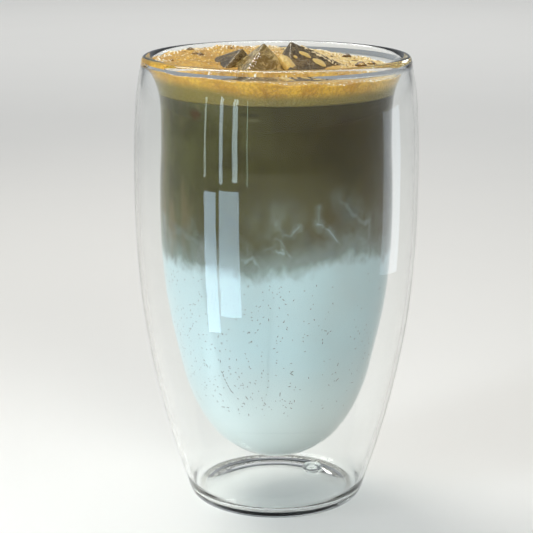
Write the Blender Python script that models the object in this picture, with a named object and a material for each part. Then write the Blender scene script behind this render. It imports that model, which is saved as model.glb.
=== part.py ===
# Iced latte in a double-wall glass: milk, coffee and foam in layers, with ice standing out of the foam.
# Metres, +Z up. The origin is the middle of the base, where the glass stands.

import bpy
import bmesh
from math import cos, exp, pi, radians, sin
from mathutils import Euler, Matrix, Vector
from mathutils.geometry import interpolate_bezier

# Glass
LIP_HEIGHT = 0.1450
WALL = 0.0015
BASE_THICKNESS = 0.0018
FOOT_RADIUS = 0.0262
FOOT_RING_WIDTH = 0.0022
BASE_RISE = 0.0006
CAVITY_CORNER = 0.0022
PULLS = {  # how far, outwards and upwards, each rounded stretch of the outline is drawn by its end
    "foot": (0.0022, 0.0), "above_foot": (-0.0007, -0.0022), "below_lip": (-0.0003, 0.0012),
    "crest_outside": (0.0010, 0.0), "crest_inside": (-0.0007, 0.0), "lip_inside": (0.0002, 0.0005),
}

# Outer wall, outside: radius and height, from the foot's rounding to just below the lip
OUTER_KNOTS = (
    (0.02945, 0.0040), (0.0344, 0.0200), (0.0393, 0.0400), (0.0428, 0.0600), (0.0448, 0.0820),
    (0.0453, 0.1050), (0.0448, 0.1250), (0.0438, 0.1360), (0.0426, 0.1424),
)
# Inner cup, side that faces the air gap: radius and height, from its lowest point to just below the lip
CUP_KNOTS = (
    (0.0000, 0.0123), (0.0112, 0.0154), (0.0189, 0.0206), (0.0245, 0.0280), (0.0288, 0.0374),
    (0.0323, 0.0510), (0.0354, 0.0667), (0.0370, 0.0830), (0.0372, 0.1030), (0.0366, 0.1210),
    (0.0373, 0.1340), (0.0401, 0.1418),
)
LIP_CREST_RADIUS = 0.0403
LIP_INNER = (0.0390, 0.1440)
GAP_CREST = (0.0407, 0.1430)

# Vent in the base, closed by a small clear plug
VENT_PLACE = (0.0125, 0.0105)
VENT_RADIUS = 0.0024
PLUG_SHANK_RADIUS = 0.0020
PLUG_HEAD_RADIUS = 0.0034
PLUG_HEAD_HEIGHT = 0.0016
PLUG_ROUNDING = 0.0005

# Drink. Waves have a height, a rate along X and Y and a phase; humps have a place, a width and a height
GAP = 0.0003
MILK_LEVEL = 0.0834
MILK_WAVES = ((0.0003, 310, -170, 0.0), (0.0003, 90, 420, 2.7))
MILK_HUMPS = (
    ((-0.0088, -0.0360), 0.0035, -0.0042), ((0.0240, -0.0290), 0.0080, 0.0032),
    ((-0.0270, -0.0260), 0.0050, -0.0013), ((0.0020, 0.0350), 0.0110, 0.0034),
    ((-0.0300, 0.0200), 0.0080, -0.0030), ((0.0320, 0.0150), 0.0070, -0.0022),
)
FOAM_FLOOR = 0.1337
FOAM_LEVEL = 0.1420
FOAM_TILT = (-0.038, 0.026)
FOAM_WAVES = ((0.00025, 430, 90, 0.0), (0.0002, -160, 510, 0.0))
FOAM_HUMPS = (
    ((0.028, 0.026), 0.009, -0.0007), ((0.033, -0.004), 0.010, -0.0003), ((-0.004, 0.018), 0.010, 0.0006),
)

# Ice: size along its three edges, highest corner, and turn in degrees about X, Y and Z
ICE_BLOCKS = {
    "ice_middle": ((0.022, 0.017, 0.019), (-0.0037, -0.0125, 0.1502), (52.0, -46.8, -170.5)),
    "ice_right": ((0.024, 0.012, 0.019), (0.0043, -0.0035, 0.1497), (57.5, -25.5, -166.1)),
    "ice_left": ((0.015, 0.0155, 0.018), (-0.0105, -0.0060, 0.1478), (24.8, -49.5, -163.7)),
}
ICE_EDGE = 0.0006

# Mesh fineness
SEGMENTS = 40
PLUG_SEGMENTS = 20
STEPS = 2
FOOT_STEPS = 3
LIP_STEPS = 5
SIDE_RINGS = {"milk": 11, "coffee": 5, "foam": 2}
CAP_RINGS = {"milk": 5, "coffee": 3, "foam": 9}
FLOOR_RINGS = 5
MERGE = 0.00002


def clear_scene():
    for thing in list(bpy.data.objects):
        bpy.data.objects.remove(thing, do_unlink=True)


def material(name, color, roughness, transmission=0.0, ior=1.45):
    finish = bpy.data.materials.new(name)
    finish.use_nodes = True
    shader = finish.node_tree.nodes["Principled BSDF"]
    shader.inputs["Base Color"].default_value = (*color, 1.0)
    shader.inputs["Roughness"].default_value = roughness
    shader.inputs["Metallic"].default_value = 0.0
    shader.inputs["Transmission Weight"].default_value = transmission
    shader.inputs["IOR"].default_value = ior
    return finish


def object_from(name, mesh_data, finish, flat=False, faces_set=False):
    """Close the bmesh into an object, faces out, shaded smooth over gentle bends."""
    if not faces_set:
        bmesh.ops.remove_doubles(mesh_data, verts=mesh_data.verts, dist=MERGE)
        bmesh.ops.recalc_face_normals(mesh_data, faces=mesh_data.faces)
    mesh = bpy.data.meshes.new(name)
    mesh_data.to_mesh(mesh)
    mesh_data.free()
    mesh.materials.append(finish)
    if not flat:
        mesh.shade_smooth()
        mesh.set_sharp_from_angle(angle=radians(40))
    thing = bpy.data.objects.new(name, mesh)
    bpy.context.scene.collection.objects.link(thing)
    return thing


# Outlines

def smooth_line(knots, steps, start=None, end=None):
    """Points along a smooth curve through the knots; start and end are optional directions there."""
    points = [Vector((r, z)) for r, z in knots]
    spans = [(b - a).length for a, b in zip(points, points[1:])]
    bends = [(points[1] - points[0]).normalized() if start is None else Vector(start)]
    for i in range(1, len(points) - 1):
        before = (points[i] - points[i - 1]) / spans[i - 1]
        after = (points[i + 1] - points[i]) / spans[i]
        bends.append((before * spans[i] + after * spans[i - 1]).normalized())
    bends.append((points[-1] - points[-2]).normalized() if end is None else Vector(end))
    line = [points[0]]
    for i, span in enumerate(spans):
        handle = span / 3
        a, b = points[i], points[i + 1]
        curve = interpolate_bezier(a, a + bends[i] * handle, b - bends[i + 1] * handle, b, steps + 1)
        line += [Vector(point[:2]) for point in curve[1:]]
    return line


def set_back(line, distance):
    """The line moved sideways by distance, to the left of its direction of travel."""
    moved = []
    for i, point in enumerate(line):
        ahead = line[min(i + 1, len(line) - 1)]
        behind = line[max(i - 1, 0)]
        along = (ahead - behind).normalized()
        moved.append(point + Vector((-along.y, along.x)) * distance)
    moved[0].x = max(moved[0].x, 0.0)
    return moved


def cup_line(steps):
    return smooth_line(CUP_KNOTS, steps, start=(1, 0))


def drink_line():
    """The inside of the cup, finely, less the small gap that the drink keeps to it."""
    return set_back(cup_line(12), WALL + GAP)


def drink_radius(height, line):
    for low, high in zip(line, line[1:]):
        if low.y <= height <= high.y:
            share = (height - low.y) / max(high.y - low.y, 1e-9)
            return low.x + (high.x - low.x) * share
    return line[-1].x


def spin_round(body, outline, steps):
    """Add the shell that the outline, which starts and ends on the Z axis, sweeps out; faces out."""
    before = set(body.faces)
    verts = [body.verts.new((r, 0, z)) for r, z in outline]
    edges = [body.edges.new(pair) for pair in zip(verts, verts[1:])]
    bmesh.ops.spin(body, geom=verts + edges, cent=(0, 0, 0), axis=(0, 0, 1), angle=2 * pi,
                   steps=steps, use_merge=True, use_normal_flip=False, dvec=(0, 0, 0))
    shell = [face for face in body.faces if face not in before]
    bmesh.ops.remove_doubles(body, verts=list({vert for face in shell for vert in face.verts}), dist=MERGE)
    shell = [face for face in body.faces if face not in before]
    bmesh.ops.recalc_face_normals(body, faces=shell)
    return shell


# Glass and plug

def rounded(start, start_pull, end, end_pull, steps):
    """Points along a rounded stretch from start to end, drawn by a pull at each end."""
    pulls = [Vector(PULLS[name]) for name in (start_pull, end_pull)]
    curve = interpolate_bezier(start, start + pulls[0], end + pulls[1], end, steps + 1)
    return [Vector(point[:2]) for point in curve]


def glass_outlines():
    """The glass's skin and its air gap, as outlines that start and end on the axis."""
    outer = smooth_line(OUTER_KNOTS, STEPS)
    crest, lip_inner = Vector((LIP_CREST_RADIUS, LIP_HEIGHT)), Vector(LIP_INNER)
    ring_inside = FOOT_RADIUS - FOOT_RING_WIDTH
    base = [Vector((0, BASE_RISE)), Vector((ring_inside * 0.5, BASE_RISE)),
            Vector((ring_inside * 0.9, BASE_RISE)), Vector((ring_inside, 0))]
    skin = base + rounded(Vector((FOOT_RADIUS, 0)), "foot", outer[0], "above_foot", FOOT_STEPS) + outer[1:]
    skin += rounded(outer[-1], "below_lip", crest, "crest_outside", LIP_STEPS - 1)[1:]
    skin += rounded(crest, "crest_inside", lip_inner, "lip_inside", LIP_STEPS - 1)[1:]
    skin += list(reversed(set_back(cup_line(STEPS), WALL)))

    wall_inside = [point for point in set_back(outer, WALL) if point.y > BASE_THICKNESS + CAVITY_CORNER]
    floor_edge = wall_inside[0].x - 2 * CAVITY_CORNER
    cavity = [Vector((0, BASE_THICKNESS)), Vector((floor_edge / 2, BASE_THICKNESS)),
              Vector((floor_edge, BASE_THICKNESS)),
              Vector((wall_inside[0].x - 0.8 * CAVITY_CORNER, BASE_THICKNESS + 0.3 * CAVITY_CORNER))]
    cavity += wall_inside + [Vector(GAP_CREST)] + list(reversed(cup_line(STEPS)))
    return skin, cavity


def post(name, radius, low, high, place):
    """A plain round cutter standing on end."""
    body = bmesh.new()
    bmesh.ops.create_cone(body, cap_ends=True, segments=PLUG_SEGMENTS, radius1=radius, radius2=radius,
                          depth=high - low, matrix=Matrix.Translation((*place, (low + high) / 2)))
    cutter = object_from(name, body, bpy.data.materials["clear_glass"])
    cutter.hide_render = True
    cutter.display_type = "WIRE"
    return cutter


def cut(target, cutter):
    boolean = target.modifiers.new(cutter.name, "BOOLEAN")
    boolean.operation = "DIFFERENCE"
    boolean.solver = "EXACT"
    boolean.object = cutter


def make_glass():
    finish = material("clear_glass", (0.93, 0.96, 0.96), 0.02, transmission=1.0, ior=1.47)
    skin, cavity = glass_outlines()
    body = bmesh.new()
    spin_round(body, skin, SEGMENTS)
    bmesh.ops.reverse_faces(body, faces=spin_round(body, cavity, SEGMENTS))
    glass = object_from("glass", body, finish, faces_set=True)
    cut(glass, post("vent_cutter", VENT_RADIUS, -0.001, 2 * BASE_THICKNESS, VENT_PLACE))


def make_plug():
    """A stopper with its shank in the vent and its round head inside the air gap."""
    finish = material("clear_plug", (0.90, 0.93, 0.93), 0.12, transmission=0.9, ior=1.41)
    seat = BASE_THICKNESS + GAP
    top = seat + PLUG_HEAD_HEIGHT
    soft = PLUG_ROUNDING
    profile = [(0, BASE_RISE), (PLUG_SHANK_RADIUS, BASE_RISE), (PLUG_SHANK_RADIUS, seat),
               (PLUG_HEAD_RADIUS - soft, seat), (PLUG_HEAD_RADIUS, seat + soft),
               (PLUG_HEAD_RADIUS, top - soft), (PLUG_HEAD_RADIUS - soft, top),
               (PLUG_HEAD_RADIUS - 4 * soft, top), (0, top - soft / 2)]
    body = bmesh.new()
    spin_round(body, profile, PLUG_SEGMENTS)
    plug = object_from("vent_plug", body, finish, faces_set=True)
    plug.location = (*VENT_PLACE, 0)


# Layers of the drink

def uneven(x, y, waves, humps):
    """The height that waves and humps add at a place."""
    height = sum(size * sin(along_x * x + along_y * y + phase) for size, along_x, along_y, phase in waves)
    for place, width, size in humps:
        away = (x - place[0]) ** 2 + (y - place[1]) ** 2
        height += size * exp(-away / (2 * width * width))
    return height


def milk_top(x, y):
    """The milk's surface, where the coffee has sunk into it unevenly."""
    return MILK_LEVEL + uneven(x, y, MILK_WAVES, MILK_HUMPS)


def coffee_floor(x, y):
    return milk_top(x, y) + GAP


def foam_top(x, y):
    """The foam's surface: heaped to the left and the back, lower at the right."""
    return FOAM_LEVEL + FOAM_TILT[0] * x + FOAM_TILT[1] * y + uneven(x, y, FOAM_WAVES, FOAM_HUMPS)


def level(height):
    return lambda x, y: height


def edge_point(surface, turn, line):
    """The point where a layer's surface meets the cup's side at this turn."""
    height = surface(0, 0)
    for _ in range(4):
        radius = drink_radius(height, line)
        height = surface(radius * cos(turn), radius * sin(turn))
    return radius, height


def add_cap(body, rim, surface, rings):
    """Close a ring of vertices with a round grid that follows the surface."""
    outer = rim
    for ring in range(rings - 1, 0, -1):
        share = ring / rings
        inner = []
        for vert in rim:
            x, y = vert.co.x * share, vert.co.y * share
            inner.append(body.verts.new((x, y, surface(x, y))))
        join_rings(body, outer, inner)
        outer = inner
    middle = body.verts.new((0, 0, surface(0, 0)))
    for i, vert in enumerate(outer):
        body.faces.new((vert, outer[(i + 1) % len(outer)], middle))


def join_rings(body, one, other):
    for i in range(len(one)):
        j = (i + 1) % len(one)
        body.faces.new((one[i], one[j], other[j], other[i]))


def make_layer(name, finish, floor, roof):
    """A layer of the drink between two surfaces, its side following the inside of the cup.
    With no floor it fills the cup down to the bottom."""
    line = drink_line()
    turns = [2 * pi * i / SEGMENTS for i in range(SEGMENTS)]
    tops = [edge_point(roof, turn, line)[1] for turn in turns]
    if floor is None:
        lows = [line[0].y] * SEGMENTS
    else:
        lows = [edge_point(floor, turn, line)[1] for turn in turns]
    body = bmesh.new()
    rings = []
    for step in range(1 if floor is None else 0, SIDE_RINGS[name] + 1):
        share = step / SIDE_RINGS[name]
        if floor is None:
            share = share * share
        ring = []
        for turn, low, high in zip(turns, lows, tops):
            height = low + (high - low) * share
            radius = drink_radius(height, line)
            ring.append(body.verts.new((radius * cos(turn), radius * sin(turn), height)))
        rings.append(ring)
    for one, other in zip(rings, rings[1:]):
        join_rings(body, one, other)
    add_cap(body, rings[-1], roof, CAP_RINGS[name])
    if floor is None:
        add_cap(body, rings[0], level(line[0].y), 1)
    else:
        add_cap(body, rings[0], floor, FLOOR_RINGS)
    return object_from(name, body, finish)


# Ice

def ice_block(name, size, corner, turn, finish, spare=0.0):
    """A block of ice hung from its highest corner; spare makes it larger all round, as a cutter."""
    pose = Euler([radians(angle) for angle in turn]).to_matrix()
    centre = Vector(corner) - pose @ (Vector(size) / 2)
    grown = [side + 2 * spare for side in size]
    body = bmesh.new()
    bmesh.ops.create_cube(body, size=1, matrix=Matrix.Diagonal((*grown, 1)))
    bmesh.ops.bevel(body, geom=body.edges[:], offset=ICE_EDGE + spare * 0.4, segments=2, profile=0.5,
                    affect="EDGES")
    body.transform(Matrix.Translation(centre) @ pose.to_4x4())
    block = object_from(name, body, finish, flat=spare > 0)
    if spare:
        block.hide_render = True
        block.display_type = "WIRE"
    return block


def make_ice():
    """Three blocks lying against each other; the later ones are cut back to clear the earlier."""
    finish = material("ice", (0.55, 0.46, 0.32), 0.08, transmission=0.7, ior=1.31)
    cutters = []
    for name, (size, corner, turn) in ICE_BLOCKS.items():
        block = ice_block(name, size, corner, turn, finish)
        for cutter in cutters:
            cut(block, cutter)
        cutters.append(ice_block(name + "_room", size, corner, turn, finish, spare=GAP))
    return cutters


def make_drink():
    rooms = make_ice()
    milk = material("milk", (0.55, 0.67, 0.69), 0.25)
    coffee = material("coffee", (0.085, 0.078, 0.040), 0.10)
    foam = material("foam", (0.66, 0.47, 0.20), 0.60)
    make_layer("milk", milk, None, milk_top)
    layers = [make_layer("coffee", coffee, coffee_floor, level(FOAM_FLOOR - GAP)),
              make_layer("foam", foam, level(FOAM_FLOOR), foam_top)]
    for layer in layers:
        for room in rooms:
            cut(layer, room)


clear_scene()
make_glass()
make_plug()
make_drink()
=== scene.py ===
# Iced latte in a double-wall glass, dressed round its solid model
import bmesh
import bpy
import random
from math import cos, exp, pi, radians, sin
from mathutils import Euler, Matrix, Vector
from mathutils.bvhtree import BVHTree
from mathutils.geometry import interpolate_bezier


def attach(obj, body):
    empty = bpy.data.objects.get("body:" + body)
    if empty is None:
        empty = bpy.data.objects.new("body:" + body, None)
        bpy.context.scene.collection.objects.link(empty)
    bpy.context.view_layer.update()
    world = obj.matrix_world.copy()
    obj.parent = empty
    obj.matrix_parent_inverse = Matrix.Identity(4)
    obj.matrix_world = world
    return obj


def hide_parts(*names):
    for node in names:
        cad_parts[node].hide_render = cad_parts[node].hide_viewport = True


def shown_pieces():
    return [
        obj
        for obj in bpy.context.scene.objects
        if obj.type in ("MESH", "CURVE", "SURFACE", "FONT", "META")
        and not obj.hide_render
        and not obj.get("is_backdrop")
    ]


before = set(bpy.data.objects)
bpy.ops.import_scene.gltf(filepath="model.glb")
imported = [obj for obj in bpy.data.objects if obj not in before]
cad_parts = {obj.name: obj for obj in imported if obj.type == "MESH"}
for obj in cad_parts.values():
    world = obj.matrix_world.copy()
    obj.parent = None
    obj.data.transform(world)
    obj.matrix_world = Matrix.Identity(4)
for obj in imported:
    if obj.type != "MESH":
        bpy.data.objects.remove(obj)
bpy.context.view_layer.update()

scene = bpy.context.scene
print("frame loaded:", ", ".join(sorted(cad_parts)))


# Selecting and finishing

def selectOnly(*pieces):
    if bpy.context.mode != "OBJECT":
        bpy.ops.object.mode_set(mode="OBJECT")
    bpy.ops.object.select_all(action="DESELECT")
    for piece in pieces:
        piece.select_set(True)
    if pieces:
        bpy.context.view_layer.objects.active = pieces[0]


def editAll(piece):
    selectOnly(piece)
    bpy.ops.object.mode_set(mode="EDIT")
    bpy.ops.mesh.select_all(action="SELECT")


def applyPlace(piece):
    selectOnly(piece)
    bpy.ops.object.transform_apply(location=True, rotation=True, scale=True)


def applyModifier(piece, kind, **values):
    selectOnly(piece)
    modifier = piece.modifiers.new(kind.title(), kind)
    for key, value in values.items():
        setattr(modifier, key, value)
    bpy.ops.object.modifier_apply(modifier=modifier.name)


def cutWith(piece, cutter):
    applyModifier(piece, "BOOLEAN", operation="DIFFERENCE", solver="EXACT", object=cutter)


def removePiece(piece):
    bpy.data.objects.remove(piece, do_unlink=True)


def joinPieces(name, pieces):
    selectOnly(*pieces)
    bpy.ops.object.join()
    joined = bpy.context.object
    joined.name = name
    return joined


def smoothOver(piece, angle=40):
    selectOnly(piece)
    bpy.ops.object.shade_smooth_by_angle(angle=radians(angle))


def setMaterial(piece, finish):
    piece.data.materials.clear()
    piece.data.materials.append(finish)


def dress(piece, finish, slot, *nodes):
    # slot: what the piece is made of, not used; nodes: the solids that it replaces
    setMaterial(piece, finish)
    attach(piece, "root")
    if nodes:
        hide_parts(*nodes)


# Outlines that are turned about the glass's axis: x is the radius and y the height

def smoothLine(knots, steps, start=None):
    points = [Vector(knot) for knot in knots]
    spans = [(b - a).length for a, b in zip(points, points[1:])]
    bends = [(points[1] - points[0]).normalized() if start is None else Vector(start)]
    for i in range(1, len(points) - 1):
        before = (points[i] - points[i - 1]) / spans[i - 1]
        after = (points[i + 1] - points[i]) / spans[i]
        bends.append((before * spans[i] + after * spans[i - 1]).normalized())
    bends.append((points[-1] - points[-2]).normalized())
    line = [points[0]]
    for i, span in enumerate(spans):
        a, b = points[i], points[i + 1]
        line += bezier(a, a + bends[i] * span / 3, b - bends[i + 1] * span / 3, b, steps)[1:]
    return line


def bezier(a, aHandle, bHandle, b, steps):
    return [Vector(point[:2]) for point in interpolate_bezier(a, aHandle, bHandle, b, steps + 1)]


def setBack(line, distance):
    # moved sideways, to the left of the way the line runs
    moved = []
    for i, point in enumerate(line):
        along = (line[min(i + 1, len(line) - 1)] - line[max(i - 1, 0)]).normalized()
        moved.append(point + Vector((-along.y, along.x)) * distance)
    moved[0].x = max(moved[0].x, 0.0)
    return moved


def radiusAt(line, height):
    for low, high in zip(line, line[1:]):
        if low.y <= height <= high.y:
            share = (height - low.y) / max(high.y - low.y, 1e-9)
            return low.x + (high.x - low.x) * share
    return line[-1].x


def turnOutline(name, outline, steps):
    # one vertex is drawn along the outline and the edge is spun all the way round
    selectOnly()
    bpy.ops.mesh.primitive_plane_add(size=0.001, location=(0, 0, 0))
    piece = bpy.context.object
    piece.name = name
    editAll(piece)
    bpy.ops.mesh.merge(type="CENTER")
    bpy.ops.transform.translate(value=(outline[0].x, 0, outline[0].y))
    here = outline[0]
    for point in outline[1:]:
        step = point - here
        bpy.ops.mesh.extrude_vertices_move(TRANSFORM_OT_translate={"value": (step.x, 0, step.y)})
        here = point
    bpy.ops.mesh.select_all(action="SELECT")
    bpy.ops.mesh.spin(steps=steps, angle=2 * pi, center=(0, 0, 0), axis=(0, 0, 1))
    bpy.ops.mesh.select_all(action="SELECT")
    bpy.ops.mesh.remove_doubles(threshold=0.00001)
    bpy.ops.mesh.normals_make_consistent(inside=False)
    applyPlace(piece)
    return piece


# Camera, floor and lights

cameraSettings = {
    "place": (0.0, -0.4862, 0.2014),
    "tilt": 75.56,  # degrees up from looking straight down
    "turn": 0.371,
    "lens": 104.4,
    "sensor": 36,
}

studio = {
    "floorSize": 9.0,
    "floorColor": (0.80, 0.79, 0.76),
    "floorGrain": (0.824, 0.8137, 0.7828),
    "worldTop": (0.95, 0.98, 1.0),
    "worldSide": (0.80, 0.86, 0.92),
    "worldStrength": 0.36,
    "worldFades": (0.05, 0.7),  # from the side's colour to the top's
}

# place, aim, width, height, spread in degrees, watts and colour; a fill box isn't mirrored by anything,
# and a gloss box only shows where it is mirrored
softboxes = {
    "fillSide": ((-0.300, -0.185, 0.15), (0, 0, 0.08), 0.055, 0.32, 100, 0.35, (0.84, 0.93, 1.0)),
    "fillFront": ((0.40, -0.85, 0.50), (0, 0, 0.08), 0.50, 0.50, 90, 1.12, (1.0, 0.98, 0.95)),
    "fillLow": ((-0.18, -0.80, 0.10), (0, 0, 0.03), 0.50, 0.16, 110, 0.52, (1.0, 0.97, 0.93)),
    "topBack": ((-0.32, 0.42, 0.85), (0, 0, 0.13), 0.45, 0.40, 100, 1.35, (1.0, 0.97, 0.92)),
    "floorWash": ((0, 1.5, 1.3), (0, 1.5, 0), 2.2, 1.8, 110, 8.5, (1.0, 1.0, 1.0)),
    "glossLeft": ((-0.116, -0.110, 0.046), (-0.030, -0.030, 0.075),
                  0.026, 0.080, 180, 0.075, (0.62, 0.85, 1.0)),
    "glossMiddle": ((-0.086, -0.135, 0.052), (-0.024, -0.036, 0.080),
                    0.042, 0.070, 180, 0.095, (0.62, 0.85, 1.0)),
    "glossHighLeft": ((-0.122, -0.103, 0.124), (-0.030, -0.028, 0.110),
                      0.004, 0.062, 180, 0.007, (0.80, 0.96, 0.86)),
    "glossHigh": ((-0.098, -0.126, 0.124), (-0.028, -0.032, 0.110),
                  0.007, 0.068, 180, 0.016, (0.74, 0.92, 1.0)),
    "glossHighRight": ((-0.076, -0.143, 0.124), (-0.020, -0.038, 0.110),
                       0.010, 0.066, 180, 0.024, (0.76, 0.95, 0.94)),
    "glossThread": ((-0.055, -0.154, 0.124), (-0.018, -0.038, 0.110),
                    0.0016, 0.070, 180, 0.003, (0.70, 1.0, 0.76)),
    "glossRight": ((0.150, 0.004, 0.085), (0.020, 0, 0.100), 0.055, 0.085, 180, 0.034, (0.76, 0.88, 1.0)),
    "glossLip": ((0.120, 0.150, 0.195), (0.020, 0, 0.145), 0.060, 0.030, 180, 0.040, (0.92, 0.98, 0.95)),
    "glossTop": ((0.02, 0.03, 0.50), (0, 0, 0.14), 0.17, 0.17, 180, 0.9, (0.94, 1.0, 0.95)),
}


def addCamera():
    turn = (radians(cameraSettings["tilt"]), 0, radians(cameraSettings["turn"]))
    bpy.ops.object.camera_add(location=cameraSettings["place"], rotation=turn)
    camera = bpy.context.object
    camera.name = "photoCamera"
    camera.data.sensor_width = cameraSettings["sensor"]
    camera.data.lens = cameraSettings["lens"]
    scene.camera = camera
    scene.view_settings.view_transform = "Standard"


def addSoftbox(name, place, aim, width, height, spread, watts, color):
    bpy.ops.object.light_add(type="AREA", location=place)
    lamp = bpy.context.object
    lamp.name = name
    lamp.rotation_euler = (Vector(aim) - Vector(place)).to_track_quat("-Z", "Y").to_euler()
    lamp.data.shape = "RECTANGLE"
    lamp.data.size = width
    lamp.data.size_y = height
    lamp.data.spread = radians(spread)
    lamp.data.energy = watts
    lamp.data.color = color
    lamp.visible_camera = False
    if name.startswith("fill"):
        lamp.visible_glossy = False
        lamp.visible_transmission = False
    if name.startswith("gloss"):
        lamp.visible_diffuse = False
        lamp.visible_transmission = False


def addWorld():
    world = bpy.data.worlds.new("studioAir")
    scene.world = world
    world.use_nodes = True
    tree = world.node_tree
    background = tree.nodes["Background"]
    background.inputs["Strength"].default_value = studio["worldStrength"]
    split = addNode(tree, "SeparateXYZ", addNode(tree, "TexCoord").outputs["Generated"])
    ramp = addNode(tree, "ValToRGB", split.outputs["Z"])
    for i, name in enumerate(("worldSide", "worldTop")):
        ramp.color_ramp.elements[i].position = studio["worldFades"][i]
        ramp.color_ramp.elements[i].color = (*studio[name], 1)
    tree.links.new(ramp.outputs["Color"], background.inputs["Color"])


# Node helpers

def newMaterial(name, values):
    # values: what is the same all over, by the shader's own socket names
    finish = bpy.data.materials.new(name)
    finish.use_nodes = True
    shader = finish.node_tree.nodes["Principled BSDF"]
    for socket, value in values.items():
        shader.inputs[socket].default_value = value
    return finish, finish.node_tree, shader


def feed(tree, socket, value):
    if isinstance(value, bpy.types.NodeSocket):
        tree.links.new(value, socket)
    else:
        socket.default_value = value


def addNode(tree, kind, *inputs, **named):
    # inputs are linked or set, in order or by name; any other name is a setting of the node itself
    node = tree.nodes.new("ShaderNode" + kind)
    values = dict(enumerate(inputs))
    for key, value in named.items():
        name = key.replace("_", " ")
        if name in node.inputs:
            values[name] = value
        else:
            setattr(node, key, value)
    for name, value in values.items():
        feed(tree, node.inputs[name], value)
    return node


def mathNode(tree, operation, *inputs, clamp=False):
    return addNode(tree, "Math", *inputs, operation=operation, use_clamp=clamp).outputs[0]


def mixColor(tree, share, a, b):
    node = addNode(tree, "Mix", share, data_type="RGBA")
    for i, color in ((6, a), (7, b)):
        feed(tree, node.inputs[i], (*color, 1) if isinstance(color, tuple) else color)
    return node.outputs[2]


def rangeNode(tree, value, low, high, newLow=0.0, newHigh=1.0):
    return addNode(tree, "MapRange", Value=value, From_Min=low, From_Max=high, To_Min=newLow,
                   To_Max=newHigh, interpolation_type="SMOOTHSTEP").outputs[0]


def noiseNode(tree, vector, scale, detail=3.0, rough=0.55, distortion=0.0):
    return addNode(tree, "TexNoise", Vector=vector, Scale=scale, Detail=detail, Roughness=rough,
                   Distortion=distortion).outputs["Fac"]


def offMiddle(tree, noise, strength):
    # a noise made to swing about zero
    return mathNode(tree, "MULTIPLY", mathNode(tree, "SUBTRACT", noise, 0.5), strength)


def objectPlace(tree, scale=(1, 1, 1), turn=(0, 0, 0)):
    place = addNode(tree, "TexCoord").outputs["Object"]
    return addNode(tree, "Mapping", Vector=place, Scale=scale, Rotation=turn).outputs[0]


def splitPlace(tree):
    place = addNode(tree, "TexCoord").outputs["Object"]
    return addNode(tree, "SeparateXYZ", place).outputs[:]


def bumpNode(tree, shader, height, strength, distance):
    node = addNode(tree, "Bump", Height=height, Strength=strength, Distance=distance)
    tree.links.new(node.outputs["Normal"], shader.inputs["Normal"])


def newGroup(name, inputs, outputs):
    group = bpy.data.node_groups.new(name, "ShaderNodeTree")
    for label, kind, value in inputs:
        socket = group.interface.new_socket(name=label, in_out="INPUT",
                                            socket_type="NodeSocket" + kind)
        socket.default_value = value
    for label, kind in outputs:
        group.interface.new_socket(name=label, in_out="OUTPUT", socket_type="NodeSocket" + kind)
    given, out = group.nodes.new("NodeGroupInput"), group.nodes.new("NodeGroupOutput")
    return group, given.outputs, out.inputs


def useGroup(tree, group, **values):
    node = addNode(tree, "Group", node_tree=group)
    for name, value in values.items():
        feed(tree, node.inputs[name], value)
    return node.outputs


def passLampLight(tree, shader, tint):
    # lamps shine through the glass on what is behind it
    shadow = addNode(tree, "LightPath").outputs["Is Shadow Ray"]
    clear = addNode(tree, "BsdfTransparent", Color=(*tint, 1))
    mix = addNode(tree, "MixShader", shadow, shader.outputs[0], clear.outputs[0])
    tree.links.new(mix.outputs[0], tree.nodes["Material Output"].inputs["Surface"])


# Effects that several finishes share

def smearsGroup():
    # faint wiping marks on something polished: where they are, and how much rougher it is there
    group, given, out = newGroup(
        "smears",
        [("Scale", "Float", 60.0), ("Least", "Float", 0.01), ("Most", "Float", 0.05)],
        [("Roughness", "Float"), ("Height", "Float")])
    place = objectPlace(group, scale=(1, 1, 0.35))
    height = noiseNode(group, place, given["Scale"], 4.0, 0.6)
    rough = rangeNode(group, height, 0.45, 0.75, given["Least"], given["Most"])
    group.links.new(rough, out["Roughness"])
    group.links.new(height, out["Height"])
    return group


def wispGroup():
    # a soft stroke between two points
    group, given, out = newGroup(
        "wisp",
        [("Place", "Vector", (0, 0, 0)), ("From", "Vector", (0, 0, 0)), ("Along", "Vector", (1, 0, 0)),
         ("Width", "Float", 0.001), ("Strength", "Float", 1.0)],
        [("Mask", "Float")])

    def vectorNode(operation, *inputs, **named):
        node = addNode(group, "VectorMath", *inputs, operation=operation, **named)
        return node.outputs["Value" if operation in ("DOT_PRODUCT", "LENGTH") else "Vector"]

    away = vectorNode("SUBTRACT", given["Place"], given["From"])
    share = mathNode(group, "DIVIDE", vectorNode("DOT_PRODUCT", away, given["Along"]),
                     vectorNode("DOT_PRODUCT", given["Along"], given["Along"]), clamp=True)
    nearest = vectorNode("SCALE", given["Along"], Scale=share)
    distance = vectorNode("LENGTH", vectorNode("SUBTRACT", away, nearest))
    core = rangeNode(group, distance, given["Width"], 0.0)
    glow = rangeNode(group, distance, mathNode(group, "MULTIPLY", given["Width"], 2.6), 0.0, 0.0, 0.5)
    soft = mathNode(group, "MAXIMUM", mathNode(group, "MULTIPLY", core, core), glow)
    group.links.new(mathNode(group, "MULTIPLY", soft, given["Strength"]), out["Mask"])
    return group


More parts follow.
